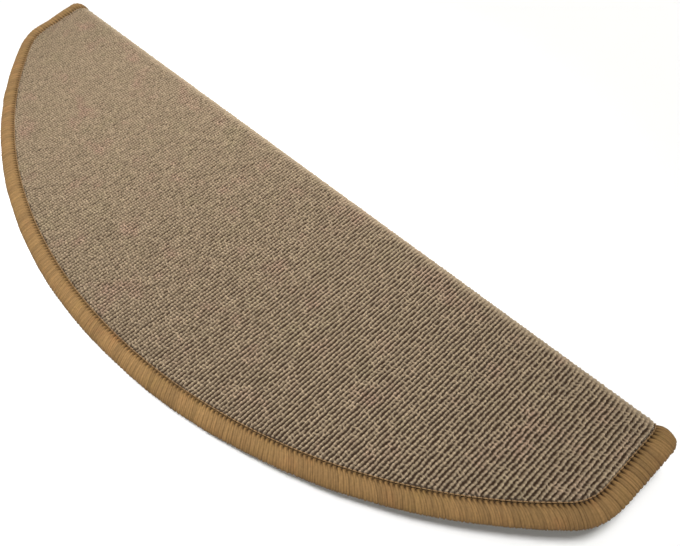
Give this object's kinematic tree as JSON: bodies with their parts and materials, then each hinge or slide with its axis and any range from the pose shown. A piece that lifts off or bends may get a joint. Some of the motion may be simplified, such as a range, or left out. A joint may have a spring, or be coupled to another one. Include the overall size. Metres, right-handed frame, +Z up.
{
  "type": "stair tread mat",
  "caption": "Half-moon anti slip stair mat in ribbed loop-pile carpet with a bound edge and a fold that hooks over the nosing.",
  "frame": {"origin": "on the ground under the middle of the mat's box, with the mat lying as it does off the stair", "axes": "+Z up, +X to the right along the fold, +Y back toward the fold and its flap, round front edge at -Y"},
  "size_m": [0.65, 0.2034, 0.041],
  "materials": {
    "carpet": "beige ribbed loop pile",
    "backing": "dull anti slip rubber",
    "binding": "tan wound yarn"
  },
  "bodies": {
    "root": {"loop_pile": "carpet", "anti_slip_backing": "backing", "edge_binding": "binding"}
  },
  "joints": []
}
